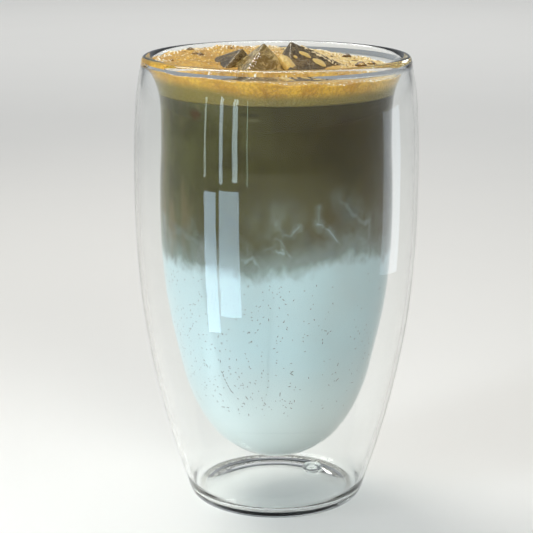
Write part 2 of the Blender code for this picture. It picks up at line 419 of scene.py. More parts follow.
def layersGroup():
    # colour of the drink at each height: milk, clouds of it in the coffee, and coffee
    w = layerLooks
    tree, given, out = newGroup(
        "drinkLayers",
        [("Milk", "Color", (0.8, 0.8, 0.8, 1)), ("Coffee", "Color", (0.1, 0.1, 0.1, 1)),
         ("Cloud", "Color", (0.4, 0.4, 0.4, 1)), ("Level", "Float", 0.0834)],
        [("Color", "Color")])
    across, inward, height = splitPlace(tree)

    # the level follows the milk's own humps and dips
    level = given["Level"]
    flat = addNode(tree, "CombineXYZ", across, inward).outputs[0]
    for place, width, size in milkSurface["humps"]:
        away = addNode(tree, "VectorMath", flat, (*place, 0), operation="DISTANCE")
        hump = rangeNode(tree, away.outputs["Value"], w["humpReach"] * width, 0.0, 0.0, size)
        level = mathNode(tree, "ADD", level, hump)

    # milk gives way to coffee at a height that wanders, in fine streaks and lumps
    broad = noiseNode(tree, objectPlace(tree, scale=(1, 1, 0.7)), 105.0, 3.0, 0.5, 0.6)
    fine = noiseNode(tree, objectPlace(tree, scale=(1, 1, 0.65)), 210.0, 4.0, 0.55, 0.5)
    above = mathNode(tree, "SUBTRACT", height, level)
    above = mathNode(tree, "ADD", above, offMiddle(tree, broad, w["wander"]))
    edge = mathNode(tree, "ADD", above, offMiddle(tree, fine, w["ragged"]))
    milkiness = rangeNode(tree, edge, *w["milkFades"])

    # haze above it, and faint curls of milk where the two mix
    haze = rangeNode(tree, edge, *w["hazeFades"], 0.0, w["haze"])
    leaning = objectPlace(tree, scale=(1, 1, 0.85), turn=(0.3, 0.2, 0))
    curl = noiseNode(tree, leaning, 62.0, 3.0, 0.45, 0.7)
    ridge = mathNode(tree, "ABSOLUTE", mathNode(tree, "SUBTRACT", curl, 0.5))
    patches = rangeNode(tree, noiseNode(tree, objectPlace(tree), 60.0, 2.0, 0.5), 0.40, 0.55)
    low = rangeNode(tree, edge, *w["curlsFade"])
    wispy = mathNode(tree, "MULTIPLY", mathNode(tree, "MULTIPLY", low, patches),
                     rangeNode(tree, ridge, w["curlWidth"], 0.0, 0.0, w["curls"]))

    # the wisps in front are strokes that a noise bends out of line and breaks up
    waver = addNode(tree, "TexNoise", Vector=objectPlace(tree), Scale=190.0, Detail=4.0, Roughness=0.65)
    bend = w["bend"]
    shift = addNode(tree, "VectorMath", waver.outputs["Color"], (bend, 0.0, bend),
                    (-bend / 2, 0.0, -bend / 2), operation="MULTIPLY_ADD")
    wall = addNode(tree, "CombineXYZ", X=across, Z=height)
    bent = addNode(tree, "VectorMath", wall.outputs[0], shift.outputs[0], operation="ADD")
    strokes = 0.0
    for *span, strength in milkWisps:
        x, z, farX, farZ, width = (length * 0.0001 for length in span)
        stroke = useGroup(tree, wisp, Place=bent.outputs[0], From=(x, 0, z),
                          Along=(farX - x, 0, farZ - z), Width=width, Strength=strength)
        strokes = mathNode(tree, "MAXIMUM", stroke["Mask"], strokes)
    broken = mathNode(tree, "MULTIPLY", strokes, rangeNode(tree, fine, 0.34, 0.58, 0.3, 1.0))
    inFront = mathNode(tree, "MULTIPLY", broken, rangeNode(tree, inward, 0.0, w["frontFrom"]))
    wispy = mathNode(tree, "MAXIMUM", wispy, inFront)
    cloudy = mathNode(tree, "MAXIMUM", haze, wispy)
    color = mixColor(tree, cloudy, given["Coffee"], given["Cloud"])
    color = mixColor(tree, milkiness, color, given["Milk"])
    tree.links.new(color, out["Color"])
    return tree


def bubblesGroup():
    # froth: small bubbles of two sizes, as a height and as a mask of the low hollows between them, which
    # are painted darker as shade
    group, given, out = newGroup(
        "bubbles",
        [("Coarse", "Float", 900.0), ("Fine", "Float", 2400.0)],
        [("Height", "Float"), ("HollowShade", "Float"), ("Mottle", "Float")])
    place = objectPlace(group)
    heights = []
    for name in ("Coarse", "Fine"):
        cells = addNode(group, "TexVoronoi", Vector=place, Scale=given[name], feature="F1")
        heights.append(cells.outputs["Distance"])
    domes = mathNode(group, "ADD", mathNode(group, "MULTIPLY", heights[0], 0.65),
                     mathNode(group, "MULTIPLY", heights[1], 0.35))
    group.links.new(mathNode(group, "SUBTRACT", 1.0, domes), out["Height"])
    group.links.new(rangeNode(group, domes, 0.42, 0.62), out["HollowShade"])
    group.links.new(noiseNode(group, place, 160.0, 5.0, 0.6, 0.3), out["Mottle"])
    return group


layerLooks = {
    # heights in metres above the milk's level: where something starts to show, and where it is full
    "milkFades": (0.0030, -0.0026),
    "hazeFades": (0.0130, 0.0010),
    "curlsFade": (0.0170, 0.0040),
    "haze": 0.40,
    "curls": 0.35,
    "curlWidth": 0.10,
    "wander": -0.010,
    "ragged": -0.008,
    "bend": 0.0050,
    "humpReach": 2.4,  # of a hump's width
    "frontFrom": -0.008,
}

# wisps of milk on the wall in front, in tenths of a millimetre: one end across and up, the other
# end, and half the width; then the strength
milkWisps = (
    (-6, 980, 18, 970, 9, 0.45), (18, 970, 23, 956, 8, 0.40), (23, 956, 42, 948, 10, 0.80),
    (42, 948, 56, 967, 11, 0.80), (56, 967, 61, 984, 10, 0.65), (-5, 941, 16, 936, 9, 0.55),
    (16, 936, 21, 907, 12, 0.65), (-15, 907, 23, 899, 13, 0.60), (21, 899, 42, 881, 13, 0.65),
    (125, 1034, 123, 981, 8, 0.40), (123, 981, 167, 942, 12, 0.60), (167, 942, 196, 898, 13, 0.65),
    (190, 1048, 225, 1003, 22, 0.28), (225, 1003, 273, 963, 26, 0.35), (216, 935, 267, 911, 20, 0.38),
    (-97, 868, -72, 879, 18, 0.50), (-72, 879, -53, 846, 20, 0.50), (5, 980, 23, 890, 50, 0.32),
    (52, 871, 80, 838, 34, 0.50), (-19, 856, -1, 831, 28, 0.50), (138, 868, 180, 879, 34, 0.45),
    (208, 891, 294, 911, 55, 0.42), (-307, 848, -296, 812, 14, 0.60), (-271, 881, -264, 834, 11, 0.50),
    (-341, 951, -341, 873, 14, 0.35),
)

# surfaces as in the solids: waves have a height, a rate along X and Y and a phase, and humps have a
# place, a width and a height
milkSurface = {
    "level": 0.0834,
    "waves": ((0.0003, 310, -170, 0.0), (0.0003, 90, 420, 2.7)),
    "humps": (((-0.0088, -0.0360), 0.0035, -0.0042), ((0.0240, -0.0290), 0.0080, 0.0032),
              ((-0.0270, -0.0260), 0.0050, -0.0013), ((0.0020, 0.0350), 0.0110, 0.0034),
              ((-0.0300, 0.0200), 0.0080, -0.0030), ((0.0320, 0.0150), 0.0070, -0.0022)),
}

foamSurface = {
    "level": 0.1420,
    "tilt": (-0.038, 0.026),
    "waves": ((0.00025, 430, 90, 0.0), (0.0002, -160, 510, 0.0)),
    "humps": (((0.028, 0.026), 0.009, -0.0007), ((0.033, -0.004), 0.010, -0.0003),
              ((-0.004, 0.018), 0.010, 0.0006)),
}

smears = smearsGroup()
wisp = wispGroup()
drinkLayers = layersGroup()
bubbles = bubblesGroup()


# Finishes

drinkColors = {
    # the cool blue of the milk and its clouds is painted daylight; the milk itself is white
    "milk": (0.53, 0.67, 0.69),
    "milkShade": (0.52, 0.63, 0.64),
    # painted window light: the milk is paler to the left
    "milkLitLeft": (0.76, 0.88, 0.88),
    # painted bounce light from the floor: the milk is paler low down
    "milkLitLow": (0.74, 0.80, 0.77),
    "coffee": (0.081, 0.071, 0.016),
    "coffeeBrown": (0.096, 0.068, 0.015),
    # painted shade under the foam
    "coffeeFoamShade": (0.043, 0.031, 0.003),
    "coffeeLump": (0.04455, 0.03905, 0.0088),
    "coffeeStreak": (0.200, 0.150, 0.062),
    # paler coffee: its own lighter patches and streaks, and painted window light at the left
    "coffeePaleAndLit": (0.130, 0.124, 0.042),
    # painted cool daylight, as in the milk
    "cloud": (0.46, 0.59, 0.60),
    # marks where something sunk comes near the wall: place, half sizes, colour and how plain
    "marks": (((-0.0250, -0.0292, 0.1298), (0.0030, 0.0040, 0.0024), (0.095, 0.042, 0.008), 1.0),
              ((-0.0205, -0.0326, 0.1302), (0.0016, 0.0030, 0.0018), (0.090, 0.040, 0.008), 0.9),
              ((-0.0076, -0.0375, 0.1296), (0.0042, 0.0040, 0.0009), (0.20, 0.19, 0.10), 0.5),
              ((0.0215, -0.0320, 0.1285), (0.0060, 0.0055, 0.0036), (0.045, 0.025, 0.006), 0.7),
              ((-0.0095, -0.0372, 0.1312), (0.0056, 0.0040, 0.0011), (0.030, 0.024, 0.008), 0.8)),
}


def floorFinish():
    finish, tree, shader = newMaterial("paleFloor", {"Roughness": 0.6})
    grain = noiseNode(tree, objectPlace(tree), 9.0, 5.0, 0.6)
    color = mixColor(tree, grain, studio["floorColor"], studio["floorGrain"])
    tree.links.new(color, shader.inputs["Base Color"])
    return finish


glassLook = {
    "Base Color": (0.985, 0.995, 0.992, 1),
    "Transmission Weight": 1.0,
    "IOR": 1.46,
    "Specular Tint": (0.65, 0.67, 0.70, 1),
}

sealLook = {
    "Base Color": (0.93, 0.96, 0.96, 1),
    "Transmission Weight": 1.0,
    "IOR": 1.41,
}


def glassFinish():
    finish, tree, shader = newMaterial("clearGlass", glassLook)
    marks = useGroup(tree, smears, Scale=55.0, Least=0.0, Most=0.035)
    tree.links.new(marks["Roughness"], shader.inputs["Roughness"])
    ripple = noiseNode(tree, objectPlace(tree, scale=(1, 1, 0.4)), 30.0, 2.0, 0.4)
    bumpNode(tree, shader, ripple, strength=0.12, distance=0.0006)
    passLampLight(tree, shader, (0.97, 0.98, 0.98))
    return finish


def sealFinish():
    finish, tree, shader = newMaterial("clearSeal", sealLook)
    marks = useGroup(tree, smears, Scale=400.0, Least=0.05, Most=0.14)
    tree.links.new(marks["Roughness"], shader.inputs["Roughness"])
    bumpNode(tree, shader, marks["Height"], strength=0.2, distance=0.0002)
    passLampLight(tree, shader, (0.9, 0.93, 0.93))
    return finish


# where each colour comes in: start and end of a distance in metres, or of a noise, then least and most
drinkFades = {
    "brownRight": (-0.004, 0.030),
    "litLeft": (0.004, -0.034, 0.0, 0.7),
    "lightPatches": (0.45, 0.75, 0.0, 0.5),
    "lightStreaks": (0.35, 0.7, 0.0, 0.45),
    "beigeLeft": (-0.016, -0.034),
    "beigeStreaks": (0.46, 0.62, 0.0, 0.9),
    "darkLumps": (0.52, 0.34, 0.0, 0.55),
    # painted shade under the foam: in height, and across
    "foamShadeHigh": (0.094, 0.124),
    "foamShadeRight": (-0.020, 0.006, 0.0, 0.75),
    "mark": (1.1, 0.5, 0.0),
    "milkShade": (0.4, 0.7),
    "milkLitLeft": (-0.004, -0.030, 0.0, 0.7),
    "milkLitLow": (0.060, 0.022),
}


def drinkFinish(name, roughness):
    finish, tree, shader = newMaterial(name, {"Roughness": roughness, "Specular IOR Level": 0.0})
    place = objectPlace(tree)
    across, _, height = splitPlace(tree)

    def tinted(below, share, name):
        return mixColor(tree, share, below, drinkColors[name])

    def fade(value, kind):
        return rangeNode(tree, value, *drinkFades[kind])

    # the coffee is lighter and greener to the left, which is painted window light, and browner to the
    # right
    patches = noiseNode(tree, place, 30.0, 3.0, 0.5)
    tone = mathNode(tree, "ADD", fade(across, "litLeft"), fade(patches, "lightPatches"))
    coffee = mixColor(tree, fade(across, "brownRight"), drinkColors["coffee"], drinkColors["coffeeBrown"])
    coffee = tinted(coffee, tone, "coffeePaleAndLit")
    streaks = noiseNode(tree, objectPlace(tree, scale=(1, 1, 0.12)), 260.0, 4.0, 0.6, 0.2)
    coffee = tinted(coffee, fade(streaks, "lightStreaks"), "coffeePaleAndLit")
    # beige streaks at the left
    left = mathNode(tree, "MULTIPLY", fade(across, "beigeLeft"), fade(streaks, "beigeStreaks"))
    coffee = tinted(coffee, left, "coffeeStreak")
    lumps = noiseNode(tree, place, 85.0, 5.0, 0.6, 0.5)
    coffee = tinted(coffee, fade(lumps, "darkLumps"), "coffeeLump")
    # and darker towards the foam, except at the left: painted shade under the foam
    up = mathNode(tree, "MULTIPLY", fade(height, "foamShadeHigh"), fade(across, "foamShadeRight"))
    coffee = tinted(coffee, up, "coffeeFoamShade")
    for spot, halves, color, plain in drinkColors["marks"]:
        shifted = addNode(tree, "Mapping", place, vector_type="TEXTURE", Location=spot, Scale=halves)
        far = addNode(tree, "VectorMath", shifted.outputs[0], operation="LENGTH")
        ragged = mathNode(tree, "ADD", far.outputs["Value"], offMiddle(tree, lumps, 1.6))
        coffee = mixColor(tree, rangeNode(tree, ragged, *drinkFades["mark"], plain), coffee, color)
    milk = mixColor(tree, fade(noiseNode(tree, place, 45.0, 3.0, 0.5), "milkShade"),
                    drinkColors["milk"], drinkColors["milkShade"])
    # painted window light: paler to the left
    milk = tinted(milk, fade(across, "milkLitLeft"), "milkLitLeft")
    # painted bounce light from the floor: paler towards the bottom
    milk = tinted(milk, fade(height, "milkLitLow"), "milkLitLow")
    layers = useGroup(tree, drinkLayers, Coffee=coffee, Milk=milk, Cloud=(*drinkColors["cloud"], 1),
                      Level=milkSurface["level"])
    tree.links.new(layers["Color"], shader.inputs["Base Color"])
    swirl = noiseNode(tree, place, 60.0, 3.0, 0.5)
    bumpNode(tree, shader, swirl, strength=0.1, distance=0.0004)
    return finish


foamColors = {
    "light": (0.71, 0.41, 0.038),
    # painted shade in the hollows between bubbles
    "deep": (0.53, 0.27, 0.018),
    "hollowShadeColor": (0.318, 0.162, 0.0108),
    # paler froth, partly painted sheen
    "paleAndSheen": (0.84, 0.66, 0.27),
    "low": (0.255, 0.200, 0.046),
    "lowLeft": (0.235, 0.176, 0.022),
}

foamLook = {
    "Roughness": 0.42,
    "Specular IOR Level": 0.3,
    "Subsurface Weight": 0.15,
    "Subsurface Radius": (0.0012, 0.0007, 0.0003),
    "Subsurface Scale": 1.0,
}

# start, end, least and most, as for the drink
foamFades = {
    "mottle": (0.38, 0.62),
    "hollowShade": (0.2, 1.0, 0.0, 0.4),
    "paleAndSheen": (0.000, 0.038),
    "mostPaleAndSheen": 0.75,
    "leftRise": (-0.004, -0.026, 0.0, 0.0022),
    "band": (0.1385, 0.1352),
    "lowLeft": (-0.006, -0.026),
}


def foamFinish(name, least):
    # least: how much of the paler colour, finer froth and painted sheen, there is everywhere
    finish, tree, shader = newMaterial(name, foamLook)
    across, inward, height = splitPlace(tree)
    froth = useGroup(tree, bubbles, Coarse=1100.0, Fine=2600.0)

    def fade(value, kind):
        return rangeNode(tree, value, *foamFades[kind])

    color = mixColor(tree, fade(froth["Mottle"], "mottle"), foamColors["deep"], foamColors["light"])
    # painted shade in the hollows between bubbles
    color = mixColor(tree, fade(froth["HollowShade"], "hollowShade"), color, foamColors["hollowShadeColor"])
    # finer and paler froth at the right and the back; the paleness is partly painted sheen of light from
    # the back right
    beyond = mathNode(tree, "ADD", across, mathNode(tree, "MULTIPLY", inward, 0.6))
    paleAndSheen = rangeNode(tree, beyond, *foamFades["paleAndSheen"], least, foamFades["mostPaleAndSheen"])
    color = mixColor(tree, paleAndSheen, color, foamColors["paleAndSheen"])
    # the lower half of the band at the side is duller and more olive, and reaches higher at the left
    low = fade(mathNode(tree, "SUBTRACT", height, fade(across, "leftRise")), "band")
    olive = mixColor(tree, fade(across, "lowLeft"), foamColors["low"], foamColors["lowLeft"])
    color = mixColor(tree, low, color, olive)
    tree.links.new(color, shader.inputs["Base Color"])
    bumpNode(tree, shader, froth["Height"], strength=0.8, distance=0.0005)
    return finish


iceLook = {
    "Transmission Weight": 0.5,
    "IOR": 1.31,
    "Specular Tint": (0.7, 0.7, 0.7, 1),
}

# dark and light tone; the middle block's finish is a painted lit copy of the ice and the others' a
# painted shaded copy
iceTones = {
    "litIce": ((0.33, 0.225, 0.072), (0.95, 0.74, 0.34)),
    "shadedIce": ((0.10, 0.066, 0.022), (0.30, 0.22, 0.095)),
    # painted glints
    "glintLine": (0.92, 0.84, 0.62),
}


def iceFinish(name):
    finish, tree, shader = newMaterial(name, iceLook)
    place = objectPlace(tree)
    leaning = objectPlace(tree, scale=(1, 1, 2.2), turn=(0.5, 0.3, 0.2))
    veins = noiseNode(tree, leaning, 190.0, 6.0, 0.65, 1.2)
    color = mixColor(tree, rangeNode(tree, veins, 0.44, 0.62), *iceTones[name])
    # thin pale lines across the ice: painted glints
    crossing = objectPlace(tree, scale=(1, 0.5, 1), turn=(0.2, 0.9, 0.4))
    glintLines = noiseNode(tree, crossing, 420.0, 4.0, 0.6, 2.0)
    thin = mathNode(tree, "ABSOLUTE", mathNode(tree, "SUBTRACT", glintLines, 0.5))
    color = mixColor(tree, rangeNode(tree, thin, 0.018, 0.0, 0.0, 0.5), color, iceTones["glintLine"])
    tree.links.new(color, shader.inputs["Base Color"])
    marks = useGroup(tree, smears, Scale=260.0, Least=0.03, Most=0.14)
    tree.links.new(marks["Roughness"], shader.inputs["Roughness"])
    melt = noiseNode(tree, place, 350.0, 4.0, 0.55)
    bumpNode(tree, shader, melt, strength=0.35, distance=0.0004)
    passLampLight(tree, shader, (0.85, 0.80, 0.68))
    return finish


# Glass

glassShape = {
    "lipHeight": 0.1450,
    "wall": 0.0015,
    "baseThickness": 0.0018,
    "footRadius": 0.0262,
    "footRing": 0.0022,
    "baseRise": 0.0006,
    "cavityCorner": 0.0022,
    "outer": ((0.02945, 0.0040), (0.0344, 0.0200), (0.0393, 0.0400), (0.0428, 0.0600), (0.0448, 0.0820),
              (0.0453, 0.1050), (0.0448, 0.1250), (0.0438, 0.1360), (0.0426, 0.1424)),
    "cup": ((0.0000, 0.0123), (0.0112, 0.0154), (0.0189, 0.0206), (0.0245, 0.0280), (0.0288, 0.0374),
            (0.0323, 0.0510), (0.0354, 0.0667), (0.0370, 0.0830), (0.0372, 0.1030), (0.0366, 0.1210),
            (0.0373, 0.1340), (0.0401, 0.1418)),
    "crestRadius": 0.0403,
    "lipInner": (0.0390, 0.1440),
    "gapCrest": (0.0407, 0.1430),
    "steps": 6,
    "lipSteps": 12,
    "turns": 144,
}

seal = {
    "place": (0.0125, 0.0105),
    "hole": 0.0024,
    "shank": 0.0020,
    "head": 0.0034,
    "headHeight": 0.0016,
    "rounding": 0.0005,
    "gap": 0.0003,
    "bevel": 0.00015,
    "turns": 48,
}


def cupLine(steps):
    return smoothLine(glassShape["cup"], steps, start=(1, 0))


def glassOutlines():
    s = glassShape
    outer = smoothLine(s["outer"], s["steps"])
    foot = s["footRadius"]
    corner = bezier(Vector((foot, 0)), Vector((foot + 0.0022, 0)), outer[0] - Vector((0.0007, 0.0022)),
                    outer[0], s["lipSteps"])
    ringInside = foot - s["footRing"]
    base = [Vector((0, s["baseRise"])), Vector((ringInside * 0.5, s["baseRise"])),
            Vector((ringInside * 0.9, s["baseRise"])), Vector((ringInside, 0))]
    crest = Vector((s["crestRadius"], s["lipHeight"]))
    shoulder = bezier(outer[-1], outer[-1] + Vector((-0.0002, 0.0020)), crest + Vector((0.0016, 0)),
                      crest, s["lipSteps"])
    inner = Vector(s["lipInner"])
    roll = bezier(crest, crest - Vector((0.0007, 0)), inner + Vector((0.0002, 0.0005)), inner,
                  s["lipSteps"])
    inside = setBack(cupLine(s["steps"]), s["wall"])
    skin = base + corner + outer[1:] + shoulder[1:] + roll[1:] + list(reversed(inside))

    thick, turn = s["baseThickness"], s["cavityCorner"]
    wall = [point for point in setBack(outer, s["wall"]) if point.y > thick + turn]
    cavity = [Vector((0, thick)), Vector((foot * 0.5, thick)), Vector((wall[0].x - 2 * turn, thick)),
              Vector((wall[0].x - 0.8 * turn, thick + 0.3 * turn))]
    cavity += wall + [Vector(s["gapCrest"])] + list(reversed(cupLine(s["steps"])))
    return skin, cavity


def makeGlass():
    skinLine, cavityLine = glassOutlines()
    skin = turnOutline("glassSkin", skinLine, glassShape["turns"])
    cavity = turnOutline("airGap", cavityLine, glassShape["turns"])
    editAll(cavity)
    bpy.ops.mesh.flip_normals()
    glass = joinPieces("glassWalls", [skin, cavity])
    selectOnly()
    bpy.ops.mesh.primitive_cylinder_add(vertices=32, radius=seal["hole"], depth=0.004,
                                        location=(*seal["place"], glassShape["baseThickness"] / 2))
    drill = bpy.context.object
    cutWith(glass, drill)
    removePiece(drill)
    smoothOver(glass)
    dress(glass, glassFinish(), "clear_glass", "glass")


def makeSeal():
    s = seal
    foot, seat = glassShape["baseRise"], glassShape["baseThickness"] + s["gap"]
    top = seat + s["headHeight"]
    shank, head, turn = s["shank"], s["head"], s["rounding"]
    outline = [Vector(point) for point in (
        (0, foot), (shank, foot), (shank, seat), (head - turn, seat), (head, seat + turn),
        (head, top - turn), (head - turn, top), (head * 0.4, top), (0, top - turn * 0.5))]
    plug = turnOutline("ventSeal", outline, s["turns"])
    applyModifier(plug, "BEVEL", width=s["bevel"], segments=2, limit_method="ANGLE")
    plug.location = (*s["place"], 0)
    applyPlace(plug)
    smoothOver(plug)
    dress(plug, sealFinish(), "clear_plug", "vent_plug")


# Drink

drink = {
    "reach": 0.0004,  # how far milk, coffee and foam go into the cup's wall
    "milkFixed": 0.0700,  # below this the milk's side isn't moved
    "coffeeFixed": 0.1200,
    "overlap": 0.0002,
    "foamFloor": 0.1337,
    "foamGrain": 0.00045,
    "turns": 128,
    "capStep": 0.0015,
}


def drinkLine():
    return setBack(cupLine(10), glassShape["wall"] - drink["reach"])


def uneven(x, y, surface):
    height = sum(size * sin(alongX * x + alongY * y + phase)
                 for size, alongX, alongY, phase in surface["waves"])
    for place, width, size in surface["humps"]:
        height += size * exp(-((x - place[0]) ** 2 + (y - place[1]) ** 2) / (2 * width * width))
    return height


def milkTop(x, y):
    return milkSurface["level"] + uneven(x, y, milkSurface)


def foamTop(x, y):
    tilt = foamSurface["tilt"]
    return foamSurface["level"] + tilt[0] * x + tilt[1] * y + uneven(x, y, foamSurface)


def layerOutline(low, high):
    # from the axis out along the floor, up the cup's side and back in along the top
    line = drinkLine()
    side = [point for point in line if low < point.y < high]
    side.append(Vector((radiusAt(line, high), high)))
    if low > line[0].y:
        side.insert(0, Vector((radiusAt(line, low), low)))
        floor = capPoints(side[0].x, low)
    else:
        floor = [line[0]]
    return floor + side + list(reversed(capPoints(side[-1].x, high)))


def capPoints(radius, height):
    rings = max(2, round(radius / drink["capStep"]))
    return [Vector((radius * i / rings, height)) for i in range(rings)]


def fitSurface(piece, fixed, level, heightAt):
    # the stretch from fixed to level is drawn out to heightAt, and its side still follows the cup
    line = drinkLine()
    for vert in piece.data.vertices:
        share = (vert.co.z - fixed) / (level - fixed)
        if share <= 0:
            continue
        height = fixed + min(share, 1.0) * (heightAt(vert.co.x, vert.co.y) - fixed)
        spread = radiusAt(line, height) / radiusAt(line, vert.co.z)
        vert.co = (vert.co.x * spread, vert.co.y * spread, height)


def makeMilk():
    milk = turnOutline("milkLayer", layerOutline(0.0, milkSurface["level"]), drink["turns"])
    fitSurface(milk, drink["milkFixed"], milkSurface["level"], milkTop)
    smoothOver(milk, 60)
    dress(milk, drinkFinish("coldMilk", 0.3), "milk", "milk")


def makeCoffee(rooms):
    outline = layerOutline(milkSurface["level"], drink["foamFloor"])
    coffee = turnOutline("coffeeLayer", outline, drink["turns"])
    fitSurface(coffee, drink["coffeeFixed"], milkSurface["level"],
               lambda x, y: milkTop(x, y) - drink["overlap"])
    for room in rooms:
        cutWith(coffee, room)
    smoothOver(coffee, 60)
    dress(coffee, drinkFinish("cloudyCoffee", 0.2), "coffee", "coffee")


def topGroup(piece, low):
    # the vertices that face up above a height, for the relief of the surface
    group = piece.vertex_groups.new(name="top")
    chosen = [vert.index for vert in piece.data.vertices if vert.co.z > low and vert.normal.z > 0.5]
    group.add(chosen, 1.0, "REPLACE")
    return group.name


foamRelief = (("CLOUDS", 0.0050, 0.0008), ("VORONOI", 0.0017, 0.00045))  # kind, size and depth


def makeFoam(rooms):
    outline = layerOutline(drink["foamFloor"], foamSurface["level"])
    foam = turnOutline("foamLayer", outline, drink["turns"])
    fitSurface(foam, drink["foamFloor"], foamSurface["level"], foamTop)
    applyModifier(foam, "REMESH", mode="VOXEL", voxel_size=drink["foamGrain"])
    top = topGroup(foam, drink["foamFloor"] + 0.004)
    for kind, size, depth in foamRelief:
        texture = bpy.data.textures.new("foam" + kind.title(), kind)
        texture.noise_scale = size
        applyModifier(foam, "DISPLACE", texture=texture, strength=depth, mid_level=0.5, direction="Z",
                      vertex_group=top)
    for room in rooms:
        cutWith(foam, room)
    smoothOver(foam, 60)
    dress(foam, foamFinish("goldenFoam", 0.0), "foam", "foam")
    return foam


# Froth, bubbles and specks

def scatterCopies(name, model, places):
    # one mesh of many copies of the model; each place is a matrix
    body = bmesh.new()
    for place in places:
        one = model.data.copy()
        one.transform(place)
        body.from_mesh(one)
        bpy.data.meshes.remove(one)
    copies = bpy.data.meshes.new(name)
    body.to_mesh(copies)
    body.free()
    piece = bpy.data.objects.new(name, copies)
    scene.collection.objects.link(piece)
    removePiece(model)
    selectOnly(piece)
    bpy.ops.object.shade_smooth()
    return piece


def smallDome(name, around, rings, floor=-0.5):
    # a ball with its sunk part cut off, to stand on something
    selectOnly()
    bpy.ops.mesh.primitive_uv_sphere_add(segments=around, ring_count=rings, radius=1,
                                         location=(0, 0, 0))
    dome = bpy.context.object
    dome.name = name
    editAll(dome)
    bpy.ops.mesh.bisect(plane_co=(0, 0, floor), plane_no=(0, 0, -1), use_fill=True, clear_outer=True)
    bpy.ops.object.mode_set(mode="OBJECT")
    return dome


def sized(place, turn, size):
    return Matrix.LocRotScale(Vector(place), turn, Vector(size))


def domeAt(place, size, tall=1.0):
    return sized(place, None, (size, size, size * tall))


bubbleSettings = {
    "seed": 11,
    "fine": 2600,
    "fineSize": (0.00014, 0.00034),
    "rim": 560,
    "rimSize": (0.00016, 0.00038),
    "rimWidth": 0.0016,
    "fromWall": 0.0008,
    "fromIce": 0.0004,
    # the large ones: place on the foam, and radius
    "large": ((-0.0282, 0.0200, 0.0011), (-0.0263, 0.0140, 0.0009), (-0.0244, 0.0100, 0.0010),
              (-0.0300, 0.0165, 0.0005), (0.0231, 0.0235, 0.0013), (0.0255, 0.0175, 0.0009),
              (0.0268, 0.0050, 0.0016), (0.0304, 0.0080, 0.0011), (0.0283, -0.0015, 0.0006),
              (0.0180, 0.0200, 0.0005), (-0.0200, -0.0210, 0.0005), (0.0020, 0.0290, 0.0006),
              (-0.0330, 0.0010, 0.0006), (0.0120, 0.0310, 0.0005), (-0.0150, 0.0250, 0.0005)),
    "ringWidth": 0.22,  # of the bubble's radius
}

bubbleLooks = {
    # dark and light tone, how clear, and the share of dark ones
    # froth and ice-edge bubbles: the light tone is painted sparkle and the dark tone painted shade
    "frothBubble": ((0.42, 0.22, 0.025), (1.0, 0.90, 0.62), 0.1, 0.50),
    # painted sparkle
    "rimSparkleBubble": ((0.80, 0.55, 0.18), (1.0, 0.97, 0.84), 0.0, 0.40),
    "filmBubble": ((0.86, 0.66, 0.34), (0.97, 0.86, 0.60), 0.85, 0.50),
    # painted shade at the bubbles' feet
    "filmFootShade": ((0.10, 0.055, 0.012), (0.20, 0.11, 0.03), 0.1, 0.50),
    "edgeFilm": ((0.08, 0.05, 0.02), (0.90, 0.76, 0.48), 0.1, 0.50),
    # painted glints
    "glintFilm": ((0.90, 0.70, 0.62), (1.0, 0.97, 0.94), 0.1, 0.50),
    "ior": 1.33,
    "roughness": 0.06,
    "toneScale": 1300.0,
    "toneEdge": 0.04,
    "tint": (0.9, 0.85, 0.75),
}


def bubbleFinish(name):
    # neighbouring bubbles differ in tone
    looks = bubbleLooks
    dark, light, clear, share = looks[name]
    values = {"Transmission Weight": clear, "IOR": looks["ior"], "Roughness": looks["roughness"]}
    finish, tree, shader = newMaterial(name, values)
    tone = noiseNode(tree, objectPlace(tree), looks["toneScale"], 1.0, 0.5)
    tone = rangeNode(tree, tone, share - looks["toneEdge"], share + looks["toneEdge"])
    tree.links.new(mixColor(tree, tone, dark, light), shader.inputs["Base Color"])
    passLampLight(tree, shader, looks["tint"])
    return finish


def clearOfIce(trees, point, least):
    return all(tree.find_nearest(point)[3] > least for tree in trees)


def surfaceOf(piece):
    return BVHTree.FromPolygons([vert.co for vert in piece.data.vertices],
                                [poly.vertices for poly in piece.data.polygons])


def onFoam(surface, x, y, sink=0.0):
    point = surface.ray_cast(Vector((x, y, 0.2)), Vector((0, 0, -1)))[0]
    return Vector((x, y, (point.z if point and point.z > 0.135 else foamTop(x, y)) - sink))


